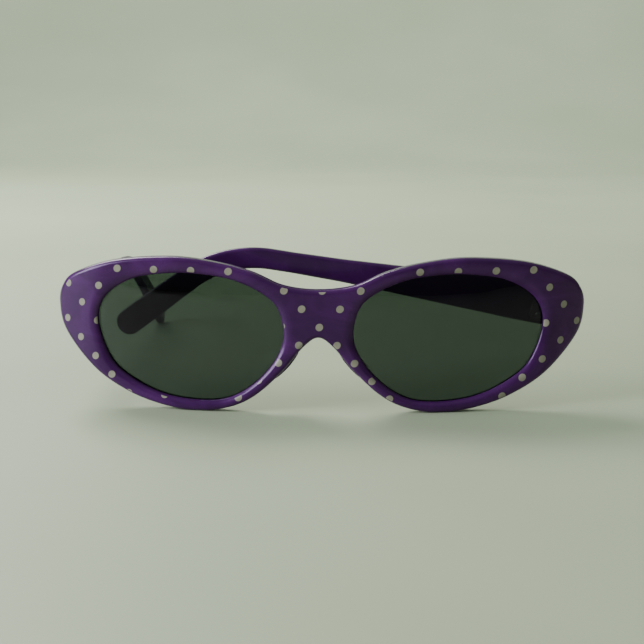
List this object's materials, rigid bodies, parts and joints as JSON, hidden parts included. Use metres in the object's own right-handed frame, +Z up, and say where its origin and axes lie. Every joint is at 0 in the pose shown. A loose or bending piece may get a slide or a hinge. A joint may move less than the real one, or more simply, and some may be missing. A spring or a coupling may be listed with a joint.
{
  "type": "cat eye sunglasses",
  "caption": "Cat eye sunglasses: dotted plastic front with upswept wings, tinted lenses, and folding temples on metal barrel hinges.",
  "frame": {"origin": "under the middle of the glasses' bounding box, on the surface they stand on", "axes": "+Z up, -Y the way the wearer looks, +X towards the wearer's left; the rims stand on Z 0"},
  "size_m": [0.1438, 0.1352, 0.0423],
  "materials": {
    "front_acetate": "polished deep purple acetate with small cream dots on the front",
    "temple_acetate": "polished deep purple acetate",
    "tinted_lens": "polished see-through grey-green tint",
    "core_wire": "plain drawn wire",
    "hinge_metal": "satin nickel silver",
    "screw_metal": "turned steel",
    "rivet_metal": "satin rivet heads"
  },
  "bodies": {
    "front": {"front_frame": "front_acetate", "lens_left": "tinted_lens", "nose_pad_left": "front_acetate", "front_hinge_left": "hinge_metal", "hinge_screw_left": "screw_metal", "front_rivet_left_upper": "rivet_metal", "front_rivet_left_lower": "rivet_metal", "lens_right": "tinted_lens", "nose_pad_right": "front_acetate", "front_hinge_right": "hinge_metal", "hinge_screw_right": "screw_metal", "front_rivet_right_upper": "rivet_metal", "front_rivet_right_lower": "rivet_metal"},
    "left_temple": {"temple_left": "temple_acetate", "temple_core_left": "core_wire", "temple_hinge_left": "hinge_metal", "temple_rivet_left_upper": "rivet_metal", "temple_rivet_left_lower": "rivet_metal"},
    "right_temple": {"temple_right": "temple_acetate", "temple_core_right": "core_wire", "temple_hinge_right": "hinge_metal", "temple_rivet_right_upper": "rivet_metal", "temple_rivet_right_lower": "rivet_metal"}
  },
  "joints": [
    {"name": "left_temple_hinge", "type": "hinge", "parent": "front", "child": "left_temple", "pos_m": [0.0653, -0.05174, 0.02655], "axis": [-0.1564, 0, -0.9877], "range_deg": [0, 90]},
    {"name": "right_temple_hinge", "type": "hinge", "parent": "front", "child": "right_temple", "pos_m": [-0.0653, -0.05174, 0.02655], "axis": [0.1564, 0, -0.9877], "range_deg": [0, 82]}
  ]
}
